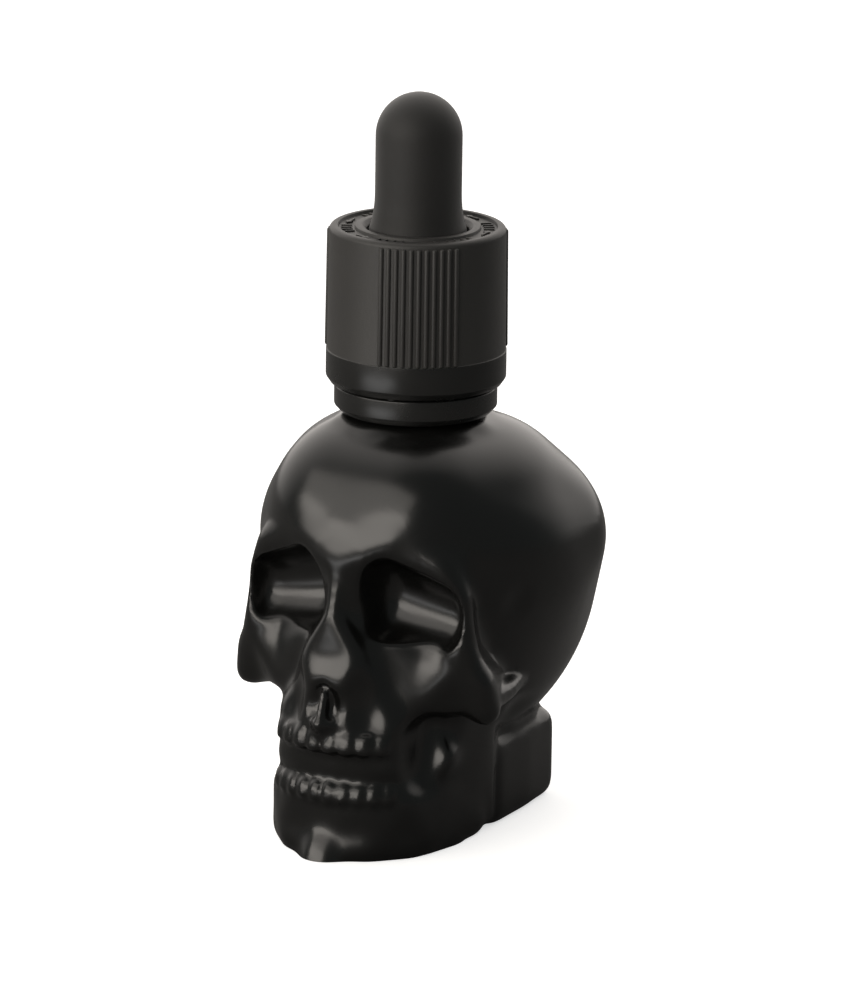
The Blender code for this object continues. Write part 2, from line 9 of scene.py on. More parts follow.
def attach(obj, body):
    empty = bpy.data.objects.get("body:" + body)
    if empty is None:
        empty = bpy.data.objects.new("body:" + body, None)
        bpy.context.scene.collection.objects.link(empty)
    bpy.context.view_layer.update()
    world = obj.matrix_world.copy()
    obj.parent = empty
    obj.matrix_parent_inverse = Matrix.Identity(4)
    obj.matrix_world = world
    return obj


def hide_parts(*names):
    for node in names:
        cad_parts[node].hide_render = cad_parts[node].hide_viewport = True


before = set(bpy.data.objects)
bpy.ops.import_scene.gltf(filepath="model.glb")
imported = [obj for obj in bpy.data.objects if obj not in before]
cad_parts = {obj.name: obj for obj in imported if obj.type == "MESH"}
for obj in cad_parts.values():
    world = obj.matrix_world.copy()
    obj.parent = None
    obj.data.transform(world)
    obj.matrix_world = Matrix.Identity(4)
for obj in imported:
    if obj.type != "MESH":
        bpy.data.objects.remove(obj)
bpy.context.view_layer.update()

# Skull: one blown piece of glass with a satin black coat. It is shaped as a mould maker shapes the master:
# lumps of clay for the braincase and the bones of the face, melted into one skin, with the sockets, nose,
# temples and cheeks hollowed out of it and the teeth and cheek arches laid on top.
MM = 0.001
NECK_FOOT_Z, COLLAR_Z, BEAD_Z, NECK_TOP_Z = 52.6, 58.8, 61.1, 76.9
NECK_RADIUS, COLLAR_RADIUS, BEAD_RADIUS, CORE_RADIUS, BORE_RADIUS = 7.75, 9.9, 9.3, 4.0, 5.4


def only(*pieces):
    """Selects these pieces and nothing else."""
    bpy.ops.object.select_all(action="DESELECT")
    for piece in pieces:
        piece.select_set(True)
    bpy.context.view_layer.objects.active = pieces[0]


def shaped(piece, kind, **settings):
    """Puts a modifier on a piece and applies it."""
    only(piece)
    step = piece.modifiers.new(kind, kind)
    for name, value in settings.items():
        setattr(step, name, value)
    bpy.ops.object.modifier_apply(modifier=step.name)


def joined(pieces, hull=False):
    """Joins pieces into one, under one tight skin if asked."""
    only(*pieces)
    if len(pieces) > 1:
        bpy.ops.object.join()
    bpy.ops.object.transform_apply(location=True, rotation=True, scale=True)
    if hull:
        bpy.ops.object.mode_set(mode="EDIT")
        bpy.ops.mesh.select_all(action="SELECT")
        bpy.ops.mesh.convex_hull()
        bpy.ops.object.mode_set(mode="OBJECT")
    return bpy.context.object


def egg(centre, radii, tilt=0.0):
    """An ellipsoid lump, in millimetres, tilted about X in degrees."""
    bpy.ops.mesh.primitive_uv_sphere_add(
        segments=64, ring_count=32, radius=MM, location=Vector(centre) * MM,
        rotation=(math.radians(tilt), 0, 0), scale=radii)
    return bpy.context.object


def web(*balls):
    """The tight skin round a few balls, each (x, y, z, radius)."""
    made = []
    for x, y, z, radius in balls:
        bpy.ops.mesh.primitive_ico_sphere_add(
            subdivisions=3, radius=radius * MM, location=(x * MM, y * MM, z * MM))
        made.append(bpy.context.object)
    return joined(made, hull=True)


def both(*balls):
    """One web over balls on the left and their twins on the right."""
    return web(*balls, *[(-x, y, z, radius) for x, y, z, radius in balls])


def chain(*balls):
    """Webs from each ball to the next: a ridge that follows a path."""
    return [web(a, b) for a, b in zip(balls, balls[1:])]


def rubbed(piece, grain, passes):
    """Melts all that a piece is made of into one skin of this grain, in mm, and rubs it smooth."""
    shaped(piece, "REMESH", mode="VOXEL", voxel_size=grain * MM)
    if passes:
        shaped(piece, "SMOOTH", factor=0.5, iterations=passes)


def melted(name, lumps, grain, passes=0):
    """Joins lumps, mirrors them to both sides, and melts them into one piece."""
    made = joined(lumps)
    made.name = name
    shaped(made, "MIRROR", use_mirror_merge=False)
    rubbed(made, grain, passes)
    return made


def cut(piece, other, operation="DIFFERENCE"):
    """Cuts another piece out of this one, or unites the two, and uses the other up."""
    shaped(piece, "BOOLEAN", operation=operation, solver="EXACT", object=other)
    bpy.data.objects.remove(other)


# The lumps of clay, in mm from the foot of the neck's axis. Those of the face are given for its left side.
braincase = joined([
    egg((0, 4.6, 39.0), (23.4, 26.2, 19.4), tilt=-18), egg((0, 9.3, 30.8), (19.5, 27.8, 22.3), tilt=19.6),
    egg((4.6, 12.1, 40.1), (18.4, 12.7, 14.3)), egg((-4.6, 12.1, 40.1), (18.4, 12.7, 14.3)),
    egg((5.2, -5.3, 45.0), (12.8, 14.4, 13.6)), egg((-5.2, -5.3, 45.0), (12.8, 14.4, 13.6)),
    egg((3.8, 2.7, 48.4), (16.0, 18.0, 10.2)), egg((-3.8, 2.7, 48.4), (16.0, 18.0, 10.2)),
], hull=True)
brows_and_cheeks = chain(
    (2.6, -17.6, 42.6, 2.6), (7.4, -17.0, 44.2, 2.6), (13.4, -15.3, 41.6, 2.6), (15.3, -14.6, 37.0, 2.5),
    (15.6, -14.4, 32.0, 2.6), (16.3, -14.2, 29.0, 2.6),
) + [
    web((7.0, -11.0, 40.0, 6.0), (11.6, -10.4, 38.0, 5.4), (12.2, -10.4, 28.0, 5.0), (6.0, -11.0, 27.0, 6.0)),
    both((0, -19.8, 41.2, 2.2), (3.2, -18.9, 42.6, 2.4), (6.8, -17.5, 44.6, 2.6), (0, -17.6, 46.6, 3.0)),
    web((4.6, -17.2, 30.6, 2.0), (6.4, -15.2, 27.2, 2.0), (7.2, -16.8, 22.4, 1.8), (11.4, -14.8, 27.0, 2.0),
        (11.0, -16.2, 22.2, 1.8), (13.0, -7.0, 23.0, 4.0), (8.0, -10.0, 31.0, 3.0)),
    web((11.4, -14.8, 27.0, 2.0), (11.0, -16.2, 22.2, 1.8), (16.3, -14.2, 28.4, 2.2),
        (15.4, -12.6, 21.4, 1.8), (13.0, -7.0, 23.0, 4.0), (8.0, -10.0, 31.0, 3.0)),
    web((16.3, -14.2, 28.4, 2.4), (15.4, -12.6, 21.4, 1.8), (18.1, -13.2, 25.4, 2.4),
        (19.1, -12.4, 21.0, 2.2), (15.0, -6.0, 24.0, 3.0)),
]
nose = [
    both((0, -20.6, 40.0, 1.3), (0, -22.0, 34.8, 1.2), (1.2, -15.0, 37.0, 2.2)),
    both((0, -22.1, 34.2, 1.3), (0, -22.0, 29.0, 1.6), (3.1, -21.6, 29.0, 1.6), (4.8, -13.0, 25.0, 3.0)),
    both((0, -22.0, 28.6, 1.6), (3.1, -21.6, 28.6, 1.6), (0, -23.6, 24.9, 1.4), (4.7, -22.9, 24.9, 1.4),
         (5.4, -13.0, 24.6, 2.4)),
    egg((0, -7.0, 29.0), (13.5, 10.0, 14.0)),
]
jaws = [
    both((0, -21.8, 17.0, 3.2), (4.6, -21.0, 17.0, 3.2), (8.6, -17.8, 17.0, 3.1), (9.6, -12.4, 17.0, 2.8),
         (3.4, -21.6, 22.8, 2.2), (7.6, -14.0, 22.0, 3.2), (9.0, -8.0, 21.5, 3.2)),
    egg((0, -12.6, 13.2), (14.2, 11.6, 5.4)),
    both((0, -22.0, 8.4, 3.0), (4.4, -21.2, 8.4, 3.0), (8.4, -18.0, 8.4, 3.0), (10.4, -11.0, 8.6, 3.0),
         (0, -21.8, 3.2, 3.2), (6.2, -20.0, 2.6, 3.2), (10.0, -15.0, 2.2, 3.1), (12.0, -4.0, 1.6, 2.2),
         (11.2, -4.0, 9.6, 2.4)),
    both((0, -21.4, 0.8, 4.4), (5.4, -21.2, 1.6, 3.0), (9.0, -17.2, 1.6, 3.0), (11.2, -9.0, 0.8, 2.5)),
    egg((0, -22.6, -5.2), (4.6, 5.2, 10.6)),
    web((11.4, -6.8, 2.0, 2.2), (11.7, -0.6, 2.0, 2.0), (8.8, -11.4, 8.0, 2.0), (11.2, -10.8, 8.0, 2.0),
        (8.8, -8.8, 19.5, 2.0), (11.6, -8.0, 19.5, 2.2), (12.0, -1.8, 20.0, 2.4), (6.0, -4.0, 20.0, 4.0)),
]
block = [
    both(*[(x, y, z, 1.7) for x, y in ((12.2, 1.4), (11.9, 10.0), (11.0, 18.3)) for z in (1.4, 11.0)]),
    both(*[(9.4, y, z, 1.5) for y in (-6.0, 6.0) for z in (1.2, 14.5)]),
    both((9.4, 0.0, 13.6, 3.0), (9.4, 12.0, 12.6, 3.0)),
]
crown = [both((0, -10.0, 57.4, 1.6), (7.2, -7.4, 57.4, 1.6), (9.8, 0, 57.4, 1.6), (7.0, 7.0, 57.4, 1.6))]
skull = melted("skull_glass", [braincase] + brows_and_cheeks + nose + jaws + block + crown, grain=0.6)

# Soft hollows first: the temple, the cheek, the side under the cheek arch, and the dip beside the nose.
cut(skull, melted("soft_hollows", [
    egg((37.8, -8.4, 33.0), (19.0, 10.0, 13.0)),
    web((11.6, -13.9, 18.6, 1.8), (11.8, -16.1, 10.8, 1.8), (16.0, -13.5, 18.6, 1.8),
        (16.0, -15.7, 10.8, 1.8), (11.2, -22.2, 17.4, 2.0), (11.6, -22.8, 11.0, 2.0),
        (18.0, -21.0, 17.4, 2.4), (18.0, -21.0, 11.0, 2.4)),
    web((18.4, 2.0, 15.8, 4.2), (19.0, 10.0, 14.0, 4.4), (21.0, 16.0, 12.0, 4.6), (24.0, 4.0, 14.0, 8.0)),
    egg((7.4, -25.8, 23.2), (4.4, 5.0, 8.0)),
], grain=0.6, passes=3))
rubbed(skull, grain=0.6, passes=12)

# Then the crisp ones: the eye sockets, the nose opening, and the groove between jaw and block.
cut(skull, melted("hollows", [
    joined([egg((5.9, -18.2, 36.4), (2.6, 5.2, 5.8)), egg((14.6, -17.6, 34.6), (2.6, 5.0, 4.8)),
            egg((10.0, -27.0, 36.0), (8.6, 5.0, 8.4))], hull=True),
    both((1.8, -25.0, 21.2, 1.6), (0, -24.0, 24.0, 1.2), (0, -30.0, 22.0, 2.6)),
    egg((14.6, 0.5, 4.0), (1.5, 0.8, 12.0)),
], grain=0.45, passes=3))
rubbed(skull, grain=0.5, passes=5)

# Last what stands proud: the teeth, the ridge and the spine under the nose, and the cheek arches.
ARCH_Y, TOOTH_FILLET, TOOTH_INSET = -14.0, 0.75, 0.85


def tooth_row(middle_z, tooth_height, tooth_width, teeth_per_side, arch_front, arch_half, flare):
    """Teeth round one side of an elliptical arch, each a rounded block that leans out by its flare."""
    row = []
    turn = 0.5 * tooth_width / arch_half
    half, rise = 0.5 * tooth_width - TOOTH_INSET, 0.5 * tooth_height - TOOTH_FILLET
    for _ in range(teeth_per_side):
        x, y = arch_half * math.sin(turn), ARCH_Y - arch_front * math.cos(turn)
        lean = math.atan2(arch_front * math.sin(turn), arch_half * math.cos(turn))
        row.append(web(*[
            (x + side * half * math.cos(lean), y + side * half * math.sin(lean) + up * flare,
             middle_z + up * rise, TOOTH_FILLET)
            for side in (-1, 1) for up in (-1, 1)]))
        turn += tooth_width / math.hypot(arch_half * math.cos(turn), arch_front * math.sin(turn))
    return row


raised = tooth_row(16.7, 3.1, 2.5, 4, arch_front=10.7, arch_half=11.6, flare=0.22)
raised += tooth_row(9.4, 2.9, 2.15, 5, arch_front=10.5, arch_half=11.8, flare=0.2)
raised += [
    web((0, -24.2, 23.6, 0.55), (0, -25.4, 19.8, 0.7), (0, -21.0, 22.0, 0.8)),
    both((0, -25.6, 19.4, 0.9), (1.4, -24.2, 19.2, 0.8), (0, -24.0, 18.0, 1.2)),
]
raised += chain((18.4, -11.0, 22.4, 2.1), (17.8, -5.0, 22.2, 1.7), (15.6, 3.4, 22.4, 1.6))
cut(skull, melted("details", raised, grain=0.25, passes=1), "UNION")
rubbed(skull, grain=0.41, passes=5)

# The flat base, then the neck finish over the crown with its screw thread, the blown hollow and the bore.
only(skull)
bpy.ops.object.mode_set(mode="EDIT")
bpy.ops.mesh.select_all(action="SELECT")
bpy.ops.mesh.bisect(plane_co=(0, 0, 0), plane_no=(0, 0, 1), use_fill=True, clear_inner=True, threshold=1e-7)
bpy.ops.object.mode_set(mode="OBJECT")


def rounded(*corners, facet=0.12):
    """An outline in (radius, height), in mm, each corner (r, z, fillet) rounded in facets of this length."""
    outline = []
    for i, (r, z, fillet) in enumerate(corners):
        here = Vector((r, z))
        if fillet <= 0.0:
            outline.append((r, z))
            continue
        to_last = (Vector(corners[i - 1][:2]) - here).normalized()
        to_next = (Vector(corners[(i + 1) % len(corners)][:2]) - here).normalized()
        half = to_last.angle(to_next) / 2
        centre = here + (to_last + to_next).normalized() * (fillet / math.sin(half))
        start = here + to_last * (fillet / math.tan(half)) - centre
        end = here + to_next * (fillet / math.tan(half)) - centre
        steps = max(2, round(fillet * start.angle(end) / facet))
        outline += [tuple(centre + start.lerp(end, k / steps).normalized() * fillet)
                    for k in range(steps + 1)]
    return outline


def drawn(name, outline):
    """An outline in (radius, height), drawn in the XZ plane by extruding a point, and closed."""
    bpy.ops.object.select_all(action="DESELECT")
    bpy.ops.mesh.primitive_plane_add(size=MM)
    made = bpy.context.object
    made.name = name
    bpy.ops.object.mode_set(mode="EDIT")
    bpy.ops.mesh.merge(type="CENTER")
    here = Vector((0, 0, 0))
    for k, (r, z) in enumerate(outline + outline[:1]):
        there = Vector((r * MM, 0, z * MM))
        if k == 0:
            bpy.ops.transform.translate(value=there)
        else:
            bpy.ops.mesh.extrude_region_move(TRANSFORM_OT_translate={"value": there - here})
        here = there
    bpy.ops.mesh.select_all(action="SELECT")
    bpy.ops.mesh.remove_doubles(threshold=0.001 * MM)
    bpy.ops.object.mode_set(mode="OBJECT")
    return made


def lathed(name, outline, steps=128):
    """A turned piece: its outline spun about Z."""
    made = drawn(name, outline)
    bpy.ops.object.mode_set(mode="EDIT")
    bpy.ops.mesh.select_all(action="SELECT")
    bpy.ops.mesh.spin(steps=steps, angle=math.tau, center=(0, 0, 0), axis=(0, 0, 1))
    bpy.ops.mesh.select_all(action="SELECT")
    bpy.ops.mesh.remove_doubles(threshold=0.001 * MM)
    bpy.ops.mesh.delete_loose()
    bpy.ops.mesh.normals_make_consistent(inside=False)
    bpy.ops.object.mode_set(mode="OBJECT")
    return made


THREAD_PITCH, RUN_OUTS_PER_TURN = 3.2, 7.0


def screw_thread(name, outline, turns, root_radius):
    """A thread: its outline wound up a helix, with both ends running out into the root."""
    made = drawn(name, outline)
    steps = round(64 * turns)
    shaped(made, "SCREW", angle=math.tau * turns, screw_offset=THREAD_PITCH * turns * MM, steps=steps,
           render_steps=steps, use_merge_vertices=False, use_smooth_shade=False)
    base_z = outline[0][1]
    for vert in made.data.vertices:
        # How far a point is wound along the helix, from 0 to 1, says how far it sinks back to the root.
        r, turn = math.hypot(vert.co.x, vert.co.y), math.atan2(vert.co.y, vert.co.x)
        rise = vert.co.z / MM - base_z
        wound = (round((rise / THREAD_PITCH) - turn / math.tau) * math.tau + turn) / (math.tau * turns)
        fade = min(1.0, min(wound, 1.0 - wound) * turns * RUN_OUTS_PER_TURN)
        slim = (root_radius * MM + (r - root_radius * MM) * max(0.0, fade)) / r
        vert.co.x, vert.co.y = vert.co.x * slim, vert.co.y * slim
    only(made)
    bpy.ops.object.mode_set(mode="EDIT")
    bpy.ops.mesh.select_all(action="SELECT")
    bpy.ops.mesh.fill_holes(sides=0)
    bpy.ops.mesh.normals_make_consistent(inside=False)
    bpy.ops.object.mode_set(mode="OBJECT")
    return made


neck = lathed("neck", rounded(
    (CORE_RADIUS, NECK_FOOT_Z, 0), (COLLAR_RADIUS, NECK_FOOT_Z, 0), (COLLAR_RADIUS, COLLAR_Z, 0.3),
    (NECK_RADIUS, COLLAR_Z, 0.35), (NECK_RADIUS, BEAD_Z, 0), (BEAD_RADIUS, BEAD_Z, 0.12),
    (BEAD_RADIUS, BEAD_Z + 0.3, 0.2), (NECK_RADIUS, BEAD_Z + 1.1, 0.2), (NECK_RADIUS, NECK_TOP_Z, 0.6),
    (CORE_RADIUS, NECK_TOP_Z, 0)))
cut(neck, screw_thread(
    "neck_thread", [(7.4, 66.0), (7.9, 66.0), (8.4, 66.5), (8.4, 66.9), (7.9, 67.4), (7.4, 67.4)],
    turns=1.75, root_radius=7.5), "UNION")
cut(skull, neck, "UNION")
HOLLOW_CORNER_Z, HOLLOW_CORNER_RADIUS, BORE_FOOT_Z, BORE_TOP_Z = 10.5, 4.0, 46.6, 78.0
cut(skull, melted("hollow", [
    egg((0, 9.4, 36.6), (17.2, 20.2, 17.6)),
    both(*[(x, y, HOLLOW_CORNER_Z + rise, HOLLOW_CORNER_RADIUS) for x, y, rise in
           ((4.0, -9.0, 0), (7.6, -1.0, 0), (8.0, 13.0, 0), (6.0, -6.0, 12.0), (9.0, 12.0, 14.0))]),
], grain=1.2, passes=4))
cut(skull, lathed("bore", [(0, BORE_FOOT_Z), (BORE_RADIUS, BORE_FOOT_Z), (BORE_RADIUS, BORE_TOP_Z),
                           (0, BORE_TOP_Z)], steps=64))
only(skull)
bpy.ops.object.shade_smooth_by_angle(angle=math.radians(40))


def linear(hex_colour):
    """An sRGB hex colour as linear values."""
    parts = [int(hex_colour[i:i + 2], 16) / 255 for i in (1, 3, 5)]
    return (*[p / 12.92 if p <= 0.04045 else ((p + 0.055) / 1.055) ** 2.4 for p in parts], 1.0)


def add_node(tree, kind, values=(), links=(), **settings):
    """Adds a shader node with its own settings, the values of its sockets, and the links that feed them."""
    made = tree.nodes.new(kind)
    for name, value in settings.items():
        setattr(made, name, value)
    for name, value in dict(values).items():
        made.inputs[name].default_value = value
    for name, source in dict(links).items():
        tree.links.new(source, made.inputs[name])
    return made


def new_finish(name, colour, roughness, **sockets):
    """A material with its even values on the shader's own sockets."""
    made = bpy.data.materials.new(name)
    made.use_nodes = True
    shader = made.node_tree.nodes["Principled BSDF"]
    shader.inputs["Base Color"].default_value = linear(colour)
    shader.inputs["Roughness"].default_value = roughness
    for socket, value in sockets.items():
        shader.inputs[socket.replace("_", " ")].default_value = value
    return made, made.node_tree, shader


def add_grain(tree, shader, size_mm, depth_mm, detail=2.0):
    """A fine moulded or sprayed grain of a real size, as bump."""
    place = add_node(tree, "ShaderNodeTexCoord")
    noise = add_node(tree, "ShaderNodeTexNoise", {"Scale": 1.0 / (size_mm * MM), "Detail": detail},
                     {"Vector": place.outputs["Object"]})
    bump = add_node(tree, "ShaderNodeBump", {"Strength": 1.0, "Distance": depth_mm * MM},
                    {"Height": noise.outputs["Fac"]})
    tree.links.new(bump.outputs["Normal"], shader.inputs["Normal"])


def add_drift(tree, shader, socket, low, high, size_mm):
    """A roughness or colour that drifts over the surface between two values, in patches of a real size."""
    place = add_node(tree, "ShaderNodeTexCoord")
    noise = add_node(tree, "ShaderNodeTexNoise", {"Scale": 1.0 / (size_mm * MM), "Detail": 3.0},
                     {"Vector": place.outputs["Object"]})
    if socket == "Base Color":
        blend = add_node(tree, "ShaderNodeMix", {"A": linear(low), "B": linear(high)},
                         {"Factor": noise.outputs["Fac"]}, data_type="RGBA")
    else:
        blend = add_node(tree, "ShaderNodeMapRange",
                         {"From Min": 0.3, "From Max": 0.7, "To Min": low, "To Max": high},
                         {"Value": noise.outputs["Fac"]})
    tree.links.new(blend.outputs["Result"], shader.inputs[socket])


def dress(piece, finish, body, node):
    """Gives a piece its finish, the node that it stands for and the body that it rides on."""
    piece.data.materials.clear()
    piece.data.materials.append(finish)
    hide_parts(node)
    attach(piece, body)


# Sprayed satin enamel over glass: deep black, with broad highlights that stay sharp at the light's edge.
coat, tree, shader = new_finish("satin_black_enamel_on_glass", "#0d0d0c", 0.24, Specular_IOR_Level=0.6)
add_grain(tree, shader, size_mm=1.6, depth_mm=0.004)
add_drift(tree, shader, "Roughness", 0.22, 0.27, size_mm=9.0)
dress(skull, coat, "bottle", "skull_bottle")

# Break-off ring: black polypropylene, moulded in one with the cap and torn from it at the first turn. It
# stays on the neck, because its thin inner lip has snapped under the glass bead. It is turned as one ring,
# with the lip inside and the stubs of its eight broken bridges on top.
RING_FOOT_Z, RING_TOP_Z, LIP_TOP_Z = 59.1, 62.8, 60.6
RING_RADIUS, RING_BORE, LIP_BORE, STUB_CIRCLE = 11.4, 9.9, 8.3, 10.85
ring = lathed("break_off_ring", rounded(
    (LIP_BORE, RING_FOOT_Z + 0.5, 0.1), (8.9, RING_FOOT_Z, 0.15), (10.6, RING_FOOT_Z, 0.2),
    (RING_RADIUS, RING_FOOT_Z + 0.85, 0.4), (RING_RADIUS, RING_TOP_Z, 0.25), (RING_BORE, RING_TOP_Z, 0.15),
    (RING_BORE, 60.9, 0.1), (LIP_BORE, LIP_TOP_Z, 0.1)), steps=144)


def evenly(count, first=0.0):
    """The angles, in degrees, of this many places spread evenly round a circle."""
    return [first + k * 360 / count for k in range(count)]


def stood_round(name, model, angles, radius, z):
    """Copies of a small model, each with its own mesh, stood at these angles round Z and joined."""
    copies = []
    for angle in angles:
        copy = model.copy()
        copy.data = model.data.copy()
        bpy.context.collection.objects.link(copy)
        turn = Matrix.Rotation(math.radians(angle), 4, "Z")
        copy.matrix_world = turn @ Matrix.Translation((radius * MM, 0, z * MM))
        copies.append(copy)
    bpy.data.objects.remove(model)
    bpy.context.view_layer.update()
    made = joined(copies)
    made.name = name
    return made


def bar(size, bevel):
    """A small block with rounded edges, (radial, across, high) in millimetres."""
    bpy.ops.object.select_all(action="DESELECT")
    bpy.ops.mesh.primitive_cube_add(size=MM, scale=size)
    bpy.ops.object.transform_apply(location=True, rotation=True, scale=True)
    bpy.ops.object.mode_set(mode="EDIT")
    bpy.ops.mesh.select_all(action="SELECT")
    bpy.ops.mesh.bevel(offset=bevel * MM, segments=2)
    bpy.ops.object.mode_set(mode="OBJECT")
    return bpy.context.object


stub = bar((0.4, 0.9, 0.6), bevel=0.08)
cut(ring, stood_round("bridge_stubs", stub, evenly(8, first=12.0), STUB_CIRCLE, RING_TOP_Z - 0.12), "UNION")
only(ring)
bpy.ops.object.shade_smooth_by_angle(angle=math.radians(35))

# Polypropylene from a polished mould: black, smooth, with one clear soft highlight and a faint flow mottle.
polished, tree, shader = new_finish("polished_moulded_polypropylene", "#1c1c1b", 0.25, Specular_IOR_Level=0.5)
add_grain(tree, shader, size_mm=2.2, depth_mm=0.006)
add_drift(tree, shader, "Roughness", 0.22, 0.28, size_mm=4.0)
dress(ring, polished, "ring", "tamper_ring")

# Inner cap: the moulded cap that does the sealing. Its thread grips the glass and its top plate clamps the
# bulb's flange on the mouth of the neck; a collar outside carries the shell, and the lugs on top take its
# turn once the shell is pressed down.
CAP_FOOT_Z, PLATE_Z, CAP_TOP_Z, CAP_COLLAR_Z = 63.1, 79.5, 81.1, 65.9
CAP_BORE, CAP_RADIUS, CAP_COLLAR_RADIUS, HOLE_RADIUS = 9.0, 10.35, 11.4, 7.05
LUGS, LUG_SIZE, LUG_BEVEL, LUG_CIRCLE = 8, (2.1, 1.6, 1.5), 0.15, 8.9
cap = lathed("threaded_inner_cap", rounded(
    (CAP_BORE, CAP_FOOT_Z, 0.25), (CAP_RADIUS, CAP_FOOT_Z, 0.2), (CAP_RADIUS, CAP_COLLAR_Z, 0.1),
    (CAP_COLLAR_RADIUS, CAP_COLLAR_Z, 0.15), (CAP_COLLAR_RADIUS, 67.1, 0.25), (CAP_RADIUS, 67.7, 0.15),
    (CAP_RADIUS, CAP_TOP_Z, 0.4), (HOLE_RADIUS, CAP_TOP_Z, 0.3), (HOLE_RADIUS, PLATE_Z, 0.3),
    (CAP_BORE, PLATE_Z, 0.3)), steps=96)
cut(cap, screw_thread(
    "cap_thread", [(9.3, 64.6), (9.1, 64.6), (8.55, 65.1), (8.55, 65.4), (9.1, 65.9), (9.3, 65.9)],
    turns=2.5, root_radius=9.2), "UNION")
lugs = stood_round("cap_lugs", bar(LUG_SIZE, LUG_BEVEL), evenly(LUGS), LUG_CIRCLE, CAP_TOP_Z + 0.35)
cut(cap, lugs, "UNION")
only(cap)
bpy.ops.object.shade_smooth_by_angle(angle=math.radians(35))

# The same plastic from a plain, unpolished mould: a shade lighter, with a broad dull sheen that wanders.
plain, tree, shader = new_finish("plain_moulded_polypropylene", "#232322", 0.45)
add_grain(tree, shader, size_mm=0.5, depth_mm=0.01)
add_drift(tree, shader, "Roughness", 0.4, 0.5, size_mm=5.0)
dress(cap, plain, "cap", "inner_cap")

# Outer shell: the push-down cover of the child-resistant cap, snapped over the inner cap's collar. Its side
# carries three pads of eleven grip ribs above a smooth band, and its top a sunk track between two raised
# rims, with moulded arrows and ticks that show which way to press and turn.
SHELL_FOOT_Z, BAND_TOP_Z, SHELL_TOP_Z, CEILING_Z = 63.1, 67.8, 85.3, 83.9
FOOT_RADIUS, TOP_RADIUS, SHELL_BORE, BAND_STEP, SNAP_BEAD = 12.6, 12.3, 11.65, 0.12, 0.75
TRACK_Z, RIM_RADIUS, INNER_RIM_RADIUS, INNER_RIM_DROP = 84.85, 11.1, 8.7, 0.02
SIDE_FOOT_RADIUS = FOOT_RADIUS - BAND_STEP
shell = lathed("ribbed_outer_shell", rounded(
    (SHELL_BORE, SHELL_FOOT_Z, 0.1), (11.95, SHELL_FOOT_Z, 0.15), (FOOT_RADIUS, 64.05, 0.45),
    (FOOT_RADIUS, BAND_TOP_Z, 0.06), (SIDE_FOOT_RADIUS, BAND_TOP_Z + BAND_STEP, 0.06),
    (TOP_RADIUS, SHELL_TOP_Z, 0.7), (RIM_RADIUS, SHELL_TOP_Z, 0.12), (RIM_RADIUS - 0.1, TRACK_Z, 0.08),
    (INNER_RIM_RADIUS + 0.1, TRACK_Z, 0.08), (INNER_RIM_RADIUS, SHELL_TOP_Z - INNER_RIM_DROP, 0.12),
    (7.75, SHELL_TOP_Z - INNER_RIM_DROP, 0.15), (HOLE_RADIUS + 0.05, 84.7, 0.2),
    (HOLE_RADIUS + 0.05, CEILING_Z, 0.1), (SHELL_BORE, CEILING_Z, 0.4), (SHELL_BORE, 65.6, 0.1),
    (SHELL_BORE - SNAP_BEAD, 65.5, 0.15), (SHELL_BORE, 64.7, 0.1)), steps=192)

# One rib, a half-round bar with rounded ends that leans with the side, copied along the three pads.
PADS, RIBS_PER_PAD, FIRST_PAD_DEG, RIB_STEP_DEG = 3, 11, -59.0, 4.95
RIB_LOW_Z, RIB_HIGH_Z, RIB_RADIUS, RIB_SINK = BAND_TOP_Z + 0.05, SHELL_TOP_Z - 0.75, 0.36, 0.02
bpy.ops.object.select_all(action="DESELECT")
bpy.ops.mesh.primitive_cylinder_add(vertices=16, radius=RIB_RADIUS * MM, depth=(RIB_HIGH_Z - RIB_LOW_Z) * MM)
rib = bpy.context.object
bpy.ops.object.mode_set(mode="EDIT")
bpy.ops.mesh.select_mode(type="FACE")
bpy.ops.mesh.select_all(action="DESELECT")
bpy.ops.object.mode_set(mode="OBJECT")
for face in rib.data.polygons:
    face.select = abs(face.normal.z) > 0.9
bpy.ops.object.mode_set(mode="EDIT")
bpy.ops.mesh.bevel(offset=0.25 * MM, segments=3)
bpy.ops.mesh.select_mode(type="VERT")
bpy.ops.object.mode_set(mode="OBJECT")
lean = math.atan2(SIDE_FOOT_RADIUS - TOP_RADIUS, SHELL_TOP_Z - BAND_TOP_Z)
rib.matrix_world = Matrix.Rotation(-lean, 4, "Y")
joined([rib])
rib_angles = [middle + (k - RIBS_PER_PAD // 2) * RIB_STEP_DEG
              for middle in evenly(PADS, first=FIRST_PAD_DEG) for k in range(RIBS_PER_PAD)]
cut(shell, stood_round("ribs", rib, rib_angles, (SIDE_FOOT_RADIUS + TOP_RADIUS) / 2 - RIB_SINK,
                       (RIB_LOW_Z + RIB_HIGH_Z) / 2), "UNION")

